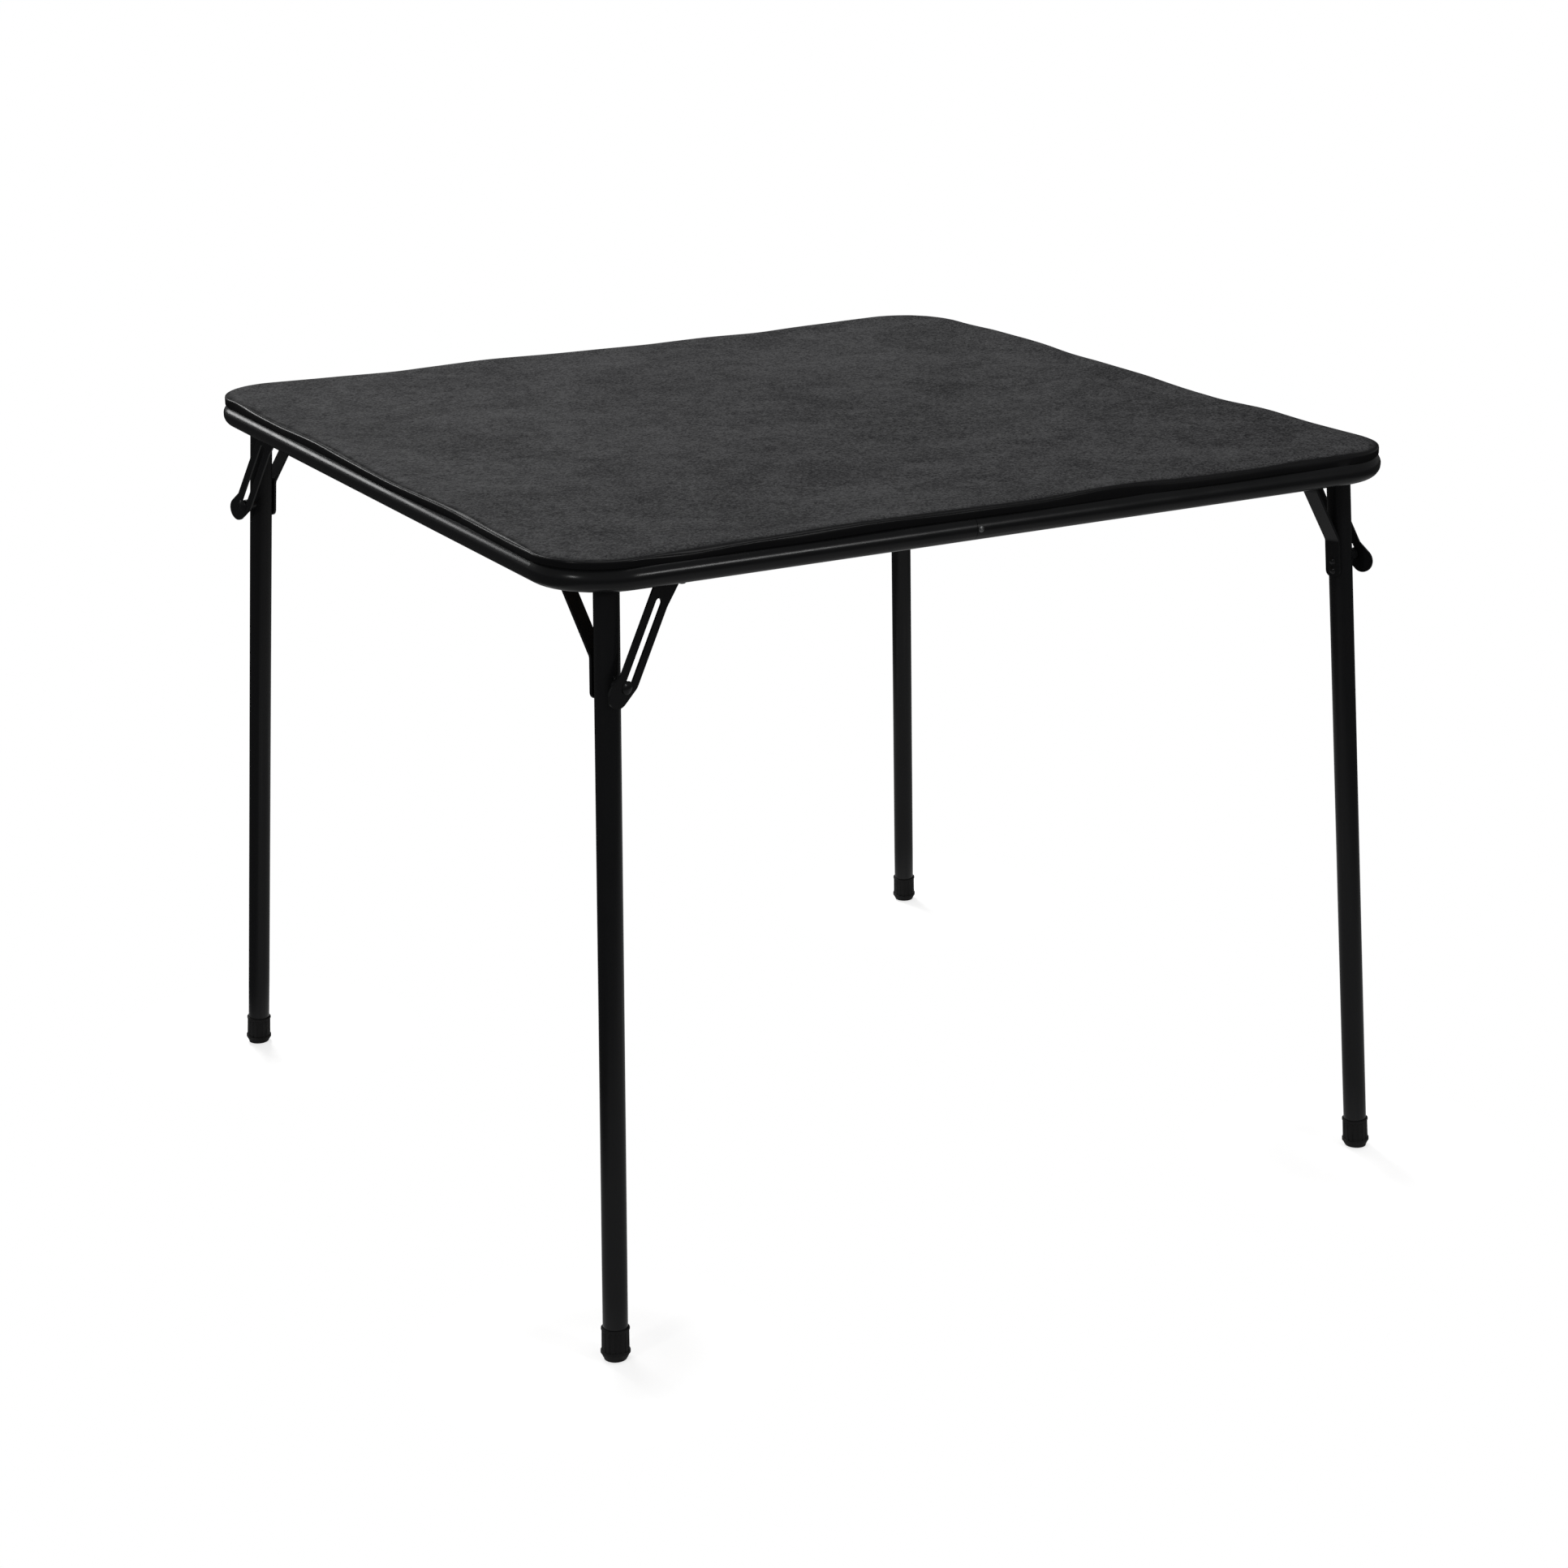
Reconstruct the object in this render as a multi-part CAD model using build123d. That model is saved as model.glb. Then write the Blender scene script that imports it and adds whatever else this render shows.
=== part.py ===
from build123d import *
import math
import os

# Folding card table, open, standing on the floor.
# Millimetres, +Z up, origin on the floor under the middle of the top.
# The front rail is on the -Y side. Every corner is the one before it turned by a quarter turn.

# Overall sizes
table_side = 863.6
table_height = 711.2
corner_names = ("front_left", "front_right", "back_right", "back_left")

# Clearances
seat_gap = 0.1
hole_gap = 0.08
slide_gap = 0.3
overrun = 5.0

# Frame: one tube bent round the top, closed by a sleeve near the middle of the front rail
frame_tube_dia = 23.0
frame_tube_wall = 1.2
frame_corner_radius = 68.0
seam_from_middle = 41.0
seam_width = 0.4
sleeve_wall = 1.0
sleeve_length = 70.0
joint_rivet_dia = 3.2
joint_rivet_head_dia = 5.6
joint_rivet_head_rise = 0.7
joint_rivet_from_seam = 3.5

# Top: hardboard, a thin foam pad and a vinyl cover that wraps the edge
board_thick = 2.4
foam_thick = 1.4
skin_thick = 0.5
pad_inset = 2.0
pad_corner_radius = 64.0
pad_edge_round = 3.4
pad_edge_drop = 6.4
edge_roll = 4.0
hem_width = 20.0

# Screws from below through the frame tube into the board, one near each corner
screw_dia = 3.5
screw_head_dia = 6.6
screw_head_rise = 0.9
screw_bite = 1.8
screw_from_middle = 320.0

# Hinge rod across each corner and the leg on it
leg_in_from_side = 56.8
leg_in_from_front = 39.8
fold_plane_turn = 18.0
rod_dia = 8.0
rod_below_frame_axis = 6.0
rod_head_dia = 11.0
rod_head_thick = 2.0
rod_into_rail = 3.0
leg_dia = 22.2
leg_wall = 1.2
leg_above_rod = 10.0
foot_out_side = 30.0
foot_out_front = 37.0
washer_dia = 16.0
washer_thick = 1.2
washer_room = 0.8

# Carrier plate for the far end of the rod, coped to the frame tube
carrier_thick = 2.5
carrier_half_height = 7.5
carrier_reach = 26.0

# Rubber foot cap
cap_height = 29.0
cap_floor = 6.0
cap_rim_dia = 25.4
cap_lip_dia = 26.4
cap_waist_dia = 24.6
cap_base_dia = 20.5
cap_lip_height = 5.0
cap_lip_thick = 2.6
cap_rim_thick = 2.4
flute_count = 16
flute_dia = 2.2
flute_depth = 0.55

# Brace strap from the leg up to the rod
strap_width = 14.8
strap_thick = 2.6
strap_bend_radius = 7.0
strap_reach = 46.0
strap_low_end = 103.0
strap_low_bend = 67.0
strap_top_bend = 13.0
strap_above_rod = 9.0
strap_end_round = 6.0
strap_rivet_dia = 4.0
strap_rivet_head_dia = 7.0
strap_rivet_head_rise = 1.5
strap_rivet_low = 96.8
strap_rivet_pitch = 9.0

# Lock stud on the leg and the slotted link that it rides in
stud_below_rod = 88.0
link_offset = 26.0
link_thick = 2.0
link_width = 22.6
stud_shank_dia = 6.6
stud_head_dia = 11.6
stud_head_rise = 1.8
spacer_dia = 11.0
spacer_shank_dia = 6.0
spacer_shank_bite = 4.0
slot_width = 7.2
slot_above_stud = 75.0
notch_down = 2.2
notch_out = 1.8
link_pivot_from_rod = 47.0
link_pivot_dia = 6.0
link_pivot_head_dia = 11.0
link_pivot_head_rise = 1.6
pivot_spacer_dia = 10.0
link_head_shift = 5.0
link_head_side = 4.5
link_head_dia = 20.0
link_flare_start = 26.0
link_tab_down = 9.0
link_tab_out = 5.7

# Worked out from the sizes above
half_side = table_side / 2
frame_r = frame_tube_dia / 2
rail_y = half_side - frame_r
pad_rise = frame_r + 4 * seat_gap + 2 * skin_thick + board_thick + foam_thick
frame_z = table_height - pad_rise
leg_r = leg_dia / 2
rod_r = rod_dia / 2
turn = math.radians(fold_plane_turn)
fold_dir = Vector(math.cos(turn), math.sin(turn), 0)
rod_z = frame_z - rod_below_frame_axis
rod_point = Vector(leg_in_from_side - half_side, leg_in_from_front - half_side, rod_z)
foot_point = Vector(rod_point.X - foot_out_side, rod_point.Y - foot_out_front, 0)
leg_up = (rod_point - foot_point).normalized()
leg_length = (rod_point - foot_point).length

# The hinge frame has x along the fold, y along the rod and z up; the leg frame leans with the leg
hinge_place = Plane(origin=rod_point, x_dir=fold_dir, z_dir=(0, 0, 1))
leg_place = Plane(origin=rod_point, x_dir=fold_dir, z_dir=leg_up)
stud_point = hinge_place.to_local_coords(rod_point - leg_up * stud_below_rod)
to_stud = Vector(stud_point.X - link_pivot_from_rod, 0, stud_point.Z)
link_reach = to_stud.length
link_angle = math.degrees(math.atan2(-to_stud.X, -to_stud.Z))
leg_lean = math.degrees(math.atan2(-stud_point.X, -stud_point.Z))
leg_fold = 90.0 + leg_lean
link_fold = 90.0 + link_angle
stud_radius = math.hypot(stud_point.X, stud_point.Z)
stud_travel = link_reach - (stud_radius - link_pivot_from_rod)


def bar_along_y(dia, start, end, x=0.0, z=0.0):
    """Round bar along the y of the frame that it is placed in."""
    bar = Cylinder(dia / 2, end - start, align=(Align.CENTER, Align.CENTER, Align.MIN))
    return Pos(x, start, z) * Rot(-90, 0, 0) * bar


def domed_head(dia, rise):
    """Low dome on the plane z = 0, rising along +z."""
    half = dia / 2
    ball_r = (half * half + rise * rise) / (2 * rise)
    ball = Pos(0, 0, rise - ball_r) * Sphere(ball_r)
    return ball & Cylinder(dia, rise, align=(Align.CENTER, Align.CENTER, Align.MIN))


def head_along_y(dia, rise, at, side, x=0.0, z=0.0):
    """Domed head that faces +y (side 1) or -y (side -1) from y = at."""
    return Pos(x, at, z) * Rot(-90 * side, 0, 0) * domed_head(dia, rise)


def rounded_square(half, radius):
    """Square with rounded corners, centred on the origin."""
    return RectangleRounded(2 * half, 2 * half, radius)


def frame_path():
    """Centre line of the bent tube, from one side of the seam round to the other."""
    bend = frame_corner_radius - frame_r
    flat = rail_y - bend
    left = -seam_from_middle - seam_width / 2
    right = -seam_from_middle + seam_width / 2
    path = [
        Line((right, -rail_y), (flat, -rail_y)),
        CenterArc((flat, -flat), bend, -90, 90),
        Line((rail_y, -flat), (rail_y, flat)),
        CenterArc((flat, flat), bend, 0, 90),
        Line((flat, rail_y), (-flat, rail_y)),
        CenterArc((-flat, flat), bend, 90, 90),
        Line((-rail_y, flat), (-rail_y, -flat)),
        CenterArc((-flat, -flat), bend, 180, 90),
        Line((-flat, -rail_y), (left, -rail_y)),
    ]
    return Pos(0, 0, frame_z) * Wire(path)


def frame_sweep(outer, inner=0.0):
    """Round section carried along the centre line of the frame, open at the seam."""
    section = Circle(outer)
    if inner > 0:
        section -= Circle(inner)
    start = Plane(
        origin=(-seam_from_middle + seam_width / 2, -rail_y, frame_z),
        z_dir=(1, 0, 0),
    )
    return sweep(start * section, path=frame_path())


def at_corners(shape):
    """The same shape at the four corners, by quarter turns about the middle."""
    return [shape.rotate(Axis.Z, 90 * k) for k in range(len(corner_names))]


def hinge(shape):
    """Place a shape made in the hinge frame of the front left corner."""
    return hinge_place.location * shape


def on_leg(shape):
    """Place a shape made in the leg frame of the front left corner."""
    return leg_place.location * shape


link_y_near = -(link_offset - link_thick / 2)
link_y_far = -(link_offset + link_thick / 2)
rail_face_y = -rail_y + math.sqrt(frame_r**2 - rod_below_frame_axis**2)


def rail_reach(x=0.0):
    """How far along the rod the inner face of the front rail lies, at x along the fold."""
    return (rod_point.Y + x * fold_dir.Y - rail_face_y) / math.cos(turn)


def bar_into_rail(dia, start, x=0.0):
    """Round bar from y = start to its end just inside the inner wall of the front rail."""
    return hinge(bar_along_y(dia, -(rail_reach(x) + rod_into_rail), start, x))


def rail_bore(dia, x=0.0):
    """Hole through the inner wall of the front rail for such a bar."""
    bore = bar_along_y(dia + 2 * hole_gap, -(rail_reach(x) + rod_into_rail + seat_gap), -leg_r, x)
    return hinge(bore)


def screw_places():
    """One screw in each rail."""
    spot = Vector(-screw_from_middle, -rail_y, 0)
    return [spot.rotate(Axis.Z, 90 * k) for k in range(len(corner_names))]


def make_frame_tube():
    tube = frame_sweep(frame_r, frame_r - frame_tube_wall)
    for bore in (rail_bore(rod_dia), rail_bore(link_pivot_dia, link_pivot_from_rod)):
        for turned in at_corners(bore):
            tube -= turned
    for spot in screw_places():
        tube -= Pos(spot.X, spot.Y, frame_z) * Cylinder(screw_dia / 2 + hole_gap, 2 * frame_tube_dia)
    tube -= joint_rivet_bore()
    return tube


def joint_rivet_bore():
    depth = frame_tube_dia
    bar = bar_along_y(joint_rivet_dia + 2 * hole_gap, 0, depth)
    return Pos(joint_rivet_x, -half_side - overrun, frame_z) * bar


joint_rivet_x = joint_rivet_from_seam - seam_from_middle
sleeve_r = frame_r - frame_tube_wall - seat_gap


def make_joint_sleeve():
    sleeve = Cylinder(sleeve_r, sleeve_length) - Cylinder(sleeve_r - sleeve_wall, sleeve_length)
    sleeve = Pos(-seam_from_middle, -rail_y, frame_z) * Rot(0, 90, 0) * sleeve
    return sleeve - joint_rivet_bore()


def make_joint_rivet():
    inner_end = frame_tube_wall + 2 * sleeve_wall + seat_gap
    shank = bar_along_y(joint_rivet_dia, 0, inner_end)
    head = head_along_y(joint_rivet_head_dia, joint_rivet_head_rise, 0, -1)
    tail = bar_along_y(joint_rivet_dia * 1.5, inner_end - sleeve_wall / 2, inner_end + sleeve_wall / 2)
    return Pos(joint_rivet_x, -half_side - seat_gap, frame_z) * (shank + head + tail)


# Heights of the layers of the top
hem_bottom = frame_z + frame_r + seat_gap
board_bottom = hem_bottom + skin_thick + seat_gap
foam_bottom = board_bottom + board_thick + seat_gap
skin_bottom = foam_bottom + foam_thick + seat_gap
pad_half = half_side - pad_inset
board_half = pad_half - edge_roll
board_corner = pad_corner_radius - edge_roll


def slab(half, radius, low, high):
    return Pos(0, 0, low) * extrude(rounded_square(half, radius), high - low)


def make_top_panel():
    panel = slab(board_half, board_corner, board_bottom, board_bottom + board_thick)
    for spot in screw_places():
        panel -= Pos(spot.X, spot.Y, board_bottom) * Cylinder(screw_dia / 2 + hole_gap, 2 * screw_bite)
    return panel


def make_foam_pad():
    return slab(board_half, board_corner, foam_bottom, foam_bottom + foam_thick)


def make_vinyl_cover():
    cover = slab(pad_half, pad_corner_radius, table_height - pad_edge_drop, table_height)
    rim = cover.edges().group_by(Axis.Z)[-1]
    cover = fillet(rim, pad_edge_round)
    cover -= slab(board_half + seat_gap, board_corner, board_bottom - seat_gap, skin_bottom)
    open_half = board_half - hem_width
    cover -= slab(open_half, board_corner - hem_width, frame_z, skin_bottom)
    hollow = extrude(rounded_square(rail_y, frame_corner_radius - frame_r), 2 * frame_r)
    cover -= Pos(0, 0, frame_z - frame_r) * hollow
    cover -= frame_body()
    seam_plug = Rot(0, 90, 0) * Cylinder(frame_r + 2 * seat_gap, 3 * seam_width)
    cover -= Pos(-seam_from_middle, -rail_y, frame_z) * seam_plug
    for spot in screw_places():
        cover -= Pos(spot.X, spot.Y, frame_z) * Cylinder(screw_dia / 2 + hole_gap, 2 * frame_tube_dia)
        cover += Pos(spot.X, spot.Y, skin_bottom) * Cylinder(
            screw_dia, skin_thick, align=(Align.CENTER, Align.CENTER, Align.MIN)
        )
    return cover


def make_panel_screws():
    bottom = frame_z - frame_r - seat_gap
    top = board_bottom + screw_bite - hole_gap
    screws = []
    for spot in screw_places():
        shank = Pos(spot.X, spot.Y, bottom) * Cylinder(
            screw_dia / 2, top - bottom, align=(Align.CENTER, Align.CENTER, Align.MIN)
        )
        head = Pos(spot.X, spot.Y, bottom) * Rot(180, 0, 0) * domed_head(screw_head_dia, screw_head_rise)
        screws.append(shank + head)
    return Compound(screws)


# Stations along the rod, from the front rail inwards
strap_far = strap_reach + strap_thick / 2 + washer_room
carrier_near = strap_far + washer_thick + slide_gap
rod_far = carrier_near + carrier_thick + slide_gap
leg_side = leg_r + washer_room


def frame_body():
    """The frame tube as a full round bar, a seat gap larger, for coping what meets it."""
    return frame_sweep(frame_r + seat_gap)


def make_hinge_rod():
    head = hinge(bar_along_y(rod_head_dia, rod_far, rod_far + rod_head_thick))
    return bar_into_rail(rod_dia, rod_far) + head


def make_hinge_carrier():
    low = Pos(-carrier_reach / 2, 0, 0) * Box(carrier_reach, carrier_thick, 2 * carrier_half_height)
    eye = Rot(90, 0, 0) * Cylinder(carrier_half_height, carrier_thick)
    plate = Pos(0, carrier_near + carrier_thick / 2, 0) * (low + eye)
    plate -= bar_along_y(rod_dia + 2 * hole_gap, 0, 2 * rod_far)
    cut = hinge(plate) - frame_body()
    return cut.solids().sort_by_distance(rod_point)[0]


def make_rod_washers():
    washer = Cylinder(washer_dia / 2, washer_thick) - Cylinder(rod_r + hole_gap, washer_thick)
    washer = Rot(90, 0, 0) * washer
    near = Pos(0, -leg_side - washer_thick / 2, 0) * washer
    far = Pos(0, strap_far + washer_thick / 2, 0) * washer
    return Compound([hinge(near), hinge(far)])


def make_leg_tube():
    length = leg_length + leg_above_rod - cap_floor
    tube = Cylinder(leg_r, length) - Cylinder(leg_r - leg_wall, length)
    tube = on_leg(Pos(0, 0, leg_above_rod - length / 2) * tube)
    tube -= hinge(bar_along_y(rod_dia + 2 * hole_gap, -leg_dia, leg_dia))
    tube -= hinge(bar_along_y(spacer_shank_dia + 2 * hole_gap, stud_point.Y - leg_dia, stud_point.Y,
                              stud_point.X, stud_point.Z))
    for drop in strap_rivet_drops():
        tube -= on_leg(bar_along_y(strap_rivet_dia + 2 * hole_gap, 0, leg_dia, 0, -drop))
    return tube


def make_foot_cap():
    """Rubber cap pushed over the end of the leg, cut flat where it stands on the floor."""
    foot = -leg_length
    lip_low = foot + cap_lip_height
    lip_high = lip_low + cap_lip_thick
    top = foot + cap_height
    outline = Polyline(
        (0, foot - overrun),
        (cap_base_dia / 2, foot - overrun),
        (cap_base_dia / 2, foot),
        (cap_lip_dia / 2 - flute_depth, lip_low),
        (cap_lip_dia / 2, lip_low + flute_depth),
        (cap_lip_dia / 2, lip_high),
        (cap_waist_dia / 2, lip_high + flute_depth),
        (cap_rim_dia / 2 - flute_depth, top - cap_rim_thick),
        (cap_rim_dia / 2, top - cap_rim_thick + flute_depth),
        (cap_rim_dia / 2, top - flute_depth),
        (cap_rim_dia / 2 - flute_depth, top),
        (leg_r + seat_gap, top),
        (leg_r + seat_gap, foot + cap_floor - seat_gap),
        (0, foot + cap_floor - seat_gap),
        close=True,
    )
    cap = revolve(Plane.XZ * make_face(outline), Axis.Z)
    flute_low = lip_high + flute_depth
    flute_high = top - cap_rim_thick
    flute_align = (Align.CENTER, Align.CENTER, Align.MIN)
    flute = Cylinder(flute_dia / 2, flute_high - flute_low, align=flute_align)
    for spot in PolarLocations(cap_waist_dia / 2 + flute_dia / 2 - flute_depth, flute_count):
        cap -= Pos(0, 0, flute_low) * spot * flute
    cap = on_leg(cap)
    floor = Pos(foot_point.X, foot_point.Y, 0) * Box(
        2 * cap_lip_dia, 2 * cap_lip_dia, 2 * overrun, align=(Align.CENTER, Align.CENTER, Align.MAX)
    )
    return cap - floor


def strap_rivet_drops():
    return (strap_rivet_low, strap_rivet_low - strap_rivet_pitch)


def make_brace_strap():
    """Flat bar: flat on the leg, out along the diagonal and upright again at the rod."""
    near = leg_r + seat_gap + strap_thick / 2
    line = FilletPolyline(
        (near, -strap_low_end),
        (near, -strap_low_bend),
        (strap_reach, -strap_top_bend),
        (strap_reach, strap_above_rod),
        radius=strap_bend_radius,
    )
    profile = trace(line, strap_thick)
    bar = extrude(Plane.YZ * profile, strap_width / 2, both=True)
    tall = strap_low_end + strap_above_rod
    outline = RectangleRounded(strap_width, tall, strap_end_round)
    middle = (strap_above_rod - strap_low_end) / 2
    blank = extrude(Plane.XZ * (Pos(0, middle) * outline), 2 * strap_reach, both=True)
    bar = bar & blank
    for drop in strap_rivet_drops():
        bar -= bar_along_y(strap_rivet_dia + 2 * hole_gap, 0, leg_dia, 0, -drop)
    return on_leg(bar) - hinge(bar_along_y(rod_dia + 2 * hole_gap, leg_dia, 2 * strap_reach))


def make_brace_rivets():
    face = leg_r + seat_gap + strap_thick + seat_gap
    rivets = []
    for drop in strap_rivet_drops():
        shank = bar_along_y(strap_rivet_dia, leg_r - 2 * leg_wall, face, 0, -drop)
        tail = bar_along_y(strap_rivet_head_dia - strap_rivet_head_rise, leg_r - 3 * leg_wall,
                           leg_r - 2 * leg_wall, 0, -drop)
        head = head_along_y(strap_rivet_head_dia, strap_rivet_head_rise, face, 1, 0, -drop)
        rivets.append(on_leg(shank + tail + head))
    return Compound(rivets)


stud_near = link_y_near + slide_gap
spacer_far = stud_near + slide_gap


def make_stud_spacer():
    """Boss riveted to the leg, which carries the shoulder of the stud."""
    boss = bar_along_y(spacer_dia, spacer_far, stud_point.Y, stud_point.X, stud_point.Z)
    boss = hinge(boss) - on_leg(Pos(0, 0, -leg_length / 2) * Cylinder(leg_r + seat_gap, 2 * leg_length))
    boss = boss.solids().sort_by(Axis.Z)[0]
    shank = bar_along_y(spacer_shank_dia, stud_point.Y - leg_r - slide_gap,
                        stud_point.Y - leg_r + spacer_shank_bite, stud_point.X, stud_point.Z)
    return boss + hinge(shank)


def make_lock_stud():
    face = link_y_far - slide_gap
    shank = bar_along_y(stud_shank_dia, face, stud_near, stud_point.X, stud_point.Z)
    head = head_along_y(stud_head_dia, stud_head_rise, face, -1, stud_point.X, stud_point.Z)
    return hinge(shank + head)


def make_lock_link():
    """Stamped link: pivot eye with a flare, two strips round the slot, a notch and a thumb tab."""
    half = link_width / 2
    head = make_hull(
        [
            Circle(half).edge(),
            (Pos(link_head_shift, link_head_side) * Circle(link_head_dia / 2)).edge(),
            (Pos(link_flare_start, 0) * Circle(half)).edge(),
        ]
    )
    body = Pos(link_reach / 2, 0) * Rectangle(link_reach, link_width)
    tail = make_hull(
        [
            (Pos(link_reach - half / 2, 0) * Circle(half)).edge(),
            (Pos(link_reach + link_tab_down, -link_tab_out) * Circle(half)).edge(),
        ]
    )
    outline = head + (Pos(-half / 2, 0) * body) + tail
    slot_top = link_reach - slot_above_stud
    slot = make_hull(
        [
            (Pos(slot_top, 0) * Circle(slot_width / 2)).edge(),
            (Pos(link_reach, 0) * Circle(slot_width / 2)).edge(),
        ]
    )
    notch = make_hull(
        [
            (Pos(link_reach, 0) * Circle(slot_width / 2)).edge(),
            (Pos(link_reach + notch_down, -notch_out) * Circle(slot_width / 2)).edge(),
        ]
    )
    outline = outline - slot - notch - Circle(link_pivot_dia / 2 + hole_gap)
    plane = Plane(
        origin=(link_pivot_from_rod, link_y_near, 0),
        x_dir=(to_stud.X, 0, to_stud.Z),
        z_dir=(0, -1, 0),
    )
    return hinge(extrude(plane * outline, link_thick))


def make_pivot_spacer():
    """Tube between the link and the rail, coped to the round of the rail."""
    start = link_y_far - slide_gap
    end = -(rail_reach(link_pivot_from_rod) + frame_r)
    tube = bar_along_y(pivot_spacer_dia, end, start, link_pivot_from_rod)
    tube -= bar_along_y(link_pivot_dia + 2 * hole_gap, end, start, link_pivot_from_rod)
    cut = hinge(tube) - frame_body()
    return cut.solids().sort_by_distance(rod_point)[0]


def make_pivot_rivet():
    """Long rivet from the rail through the spacer and the eye of the link."""
    inner = link_y_near + slide_gap
    head = head_along_y(link_pivot_head_dia, link_pivot_head_rise, inner, 1, link_pivot_from_rod)
    return bar_into_rail(link_pivot_dia, inner, link_pivot_from_rod) + hinge(head)


def save(shape, name):
    shape.label = name
    export_step(shape, os.path.join("parts", name + ".step"))


def main():
    os.makedirs("parts", exist_ok=True)
    save(make_frame_tube(), "frame_tube")
    save(make_joint_sleeve(), "frame_joint_sleeve")
    save(make_joint_rivet(), "frame_joint_rivet")
    save(make_top_panel(), "top_panel")
    save(make_foam_pad(), "foam_pad")
    save(make_vinyl_cover(), "vinyl_cover")
    save(make_panel_screws(), "panel_screws")
    corner_pieces = {
        "hinge_rod": make_hinge_rod(),
        "hinge_carrier": make_hinge_carrier(),
        "rod_washers": make_rod_washers(),
        "leg_tube": make_leg_tube(),
        "foot_cap": make_foot_cap(),
        "brace_strap": make_brace_strap(),
        "brace_rivets": make_brace_rivets(),
        "stud_spacer": make_stud_spacer(),
        "lock_stud": make_lock_stud(),
        "lock_link": make_lock_link(),
        "link_pivot_spacer": make_pivot_spacer(),
        "link_pivot_rivet": make_pivot_rivet(),
    }
    for piece, shape in corner_pieces.items():
        for k, turned in enumerate(at_corners(shape)):
            save(turned, piece + "_" + corner_names[k])
    print("leg folds", round(leg_fold, 4), "link folds", round(link_fold, 4))
    print("stud slides", round(stud_travel, 4), "link reach", round(link_reach, 4))


main()
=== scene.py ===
import math

import bpy
from mathutils import Matrix, Vector, noise


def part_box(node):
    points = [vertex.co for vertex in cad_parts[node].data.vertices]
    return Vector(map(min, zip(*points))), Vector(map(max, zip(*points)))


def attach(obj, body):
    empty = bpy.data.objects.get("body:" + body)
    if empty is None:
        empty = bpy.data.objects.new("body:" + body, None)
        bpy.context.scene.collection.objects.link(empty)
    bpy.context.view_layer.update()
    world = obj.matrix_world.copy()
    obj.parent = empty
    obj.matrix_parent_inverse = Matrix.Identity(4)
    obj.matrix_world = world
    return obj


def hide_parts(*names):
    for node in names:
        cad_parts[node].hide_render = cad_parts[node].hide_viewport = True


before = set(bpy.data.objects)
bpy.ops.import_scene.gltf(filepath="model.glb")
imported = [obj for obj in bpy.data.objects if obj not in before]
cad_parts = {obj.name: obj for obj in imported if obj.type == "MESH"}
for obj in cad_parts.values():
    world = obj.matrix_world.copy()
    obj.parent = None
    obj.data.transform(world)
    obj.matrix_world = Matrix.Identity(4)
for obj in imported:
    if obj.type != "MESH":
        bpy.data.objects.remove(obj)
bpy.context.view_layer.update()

bl_info = {
    "name": "Folding Card Table",
    "version": (1, 0, 0),
    "blender": (4, 5, 0),
    "location": "3D View > Sidebar > Card Table",
    "description": "Dresses the card table: padded top, paint, rubber, hardboard and the stage",
    "category": "Add Mesh",
}

# Measured on the frame
COVER_HIGH = Vector(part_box("vinyl_cover")[1])

CORNERS = ("front_left", "front_right", "back_right", "back_left")

PAINTED_AT_CORNER = (
    "leg_tube",
    "hinge_rod",
    "hinge_carrier",
    "rod_washers",
    "brace_strap",
    "brace_rivets",
    "stud_spacer",
    "lock_stud",
    "lock_link",
    "link_pivot_spacer",
    "link_pivot_rivet",
)
PLATED = ("panel_screws", "frame_joint_sleeve", "frame_joint_rivet")

# The outline that the padded top grows from lies this far under the cover's highest point. Faces
# less deep than the split belong to the top, and edges longer than the shortest side are sides.
OUTLINE_DROP = 0.0026
RIM_DEPTH = 0.0050
CORNER_SEGMENTS = 14
SIDE_CUTS = 100
SHORTEST_SIDE = 0.24
FACE_SPLIT = 0.0006

# Rows from the outline inwards over the rim: distance from the last row, and rise
TOP_ROWS = (
    (0.00025, 0.0008),
    (0.00050, 0.0005),
    (0.00080, 0.00035),
    (0.0016, 0.00045),
    (0.0030, 0.0006),
    (0.0050, 0.0007),
    (0.0070, 0.0004),
    (0.0120, 0.0001),
    (0.0200, 0.0),
)

# Rows from the outline inwards under the rim, as far as the vinyl is rolled
ROLLED_ROWS = (
    (0.0004, 0.0006),
    (0.0009, 0.0003),
    (0.0009, -0.0002),
    (0.0012, -0.0010),
    (0.0019, -0.0012),
    (0.0029, -0.00075),
    (0.0038, -0.00027),
)

# Where the pulled edge moves: depth of the top part, width of the lip and of the band that waves
TOP_DEPTH = 0.0045
LIP_WIDTH = 0.0035
LIP_RISE = 0.0012
WAVED_WIDTH = 0.045

# The three waves of the edge: how many fit in one wave length, and where their noise starts
LONG_WAVE = (1.0, Vector((3.1, 7.7, 0)))
SHORT_WAVE = (2.6, Vector((11.3, 2.9, 4)))
LIFT_WAVE = (1.15, Vector((5.2, 9.4, 8)))
SHORT_WAVE_SHARE = 0.35
SHORT_LIFT_SHARE = 0.3
PULLED_IN_SHARE = 0.15
LIP_START_SHARE = 0.3

# Where the foam pushes the edge up: x, y, reach and height
PUFFS = (
    (0.44, 0.24, 0.19, 0.0042),
    (-0.41, 0.41, 0.12, 0.0022),
    (0.10, -0.43, 0.06, 0.0030),
    (-0.16, -0.43, 0.05, 0.0012),
)

# The simulation holds the vinyl farther inside than these, over and under the board
HELD_OVER = 0.02
HELD_UNDER = 0.0025
PRESSURE = 1.5
CLOTH_QUALITY = 4
CLOTH_FRAMES = 14

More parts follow.
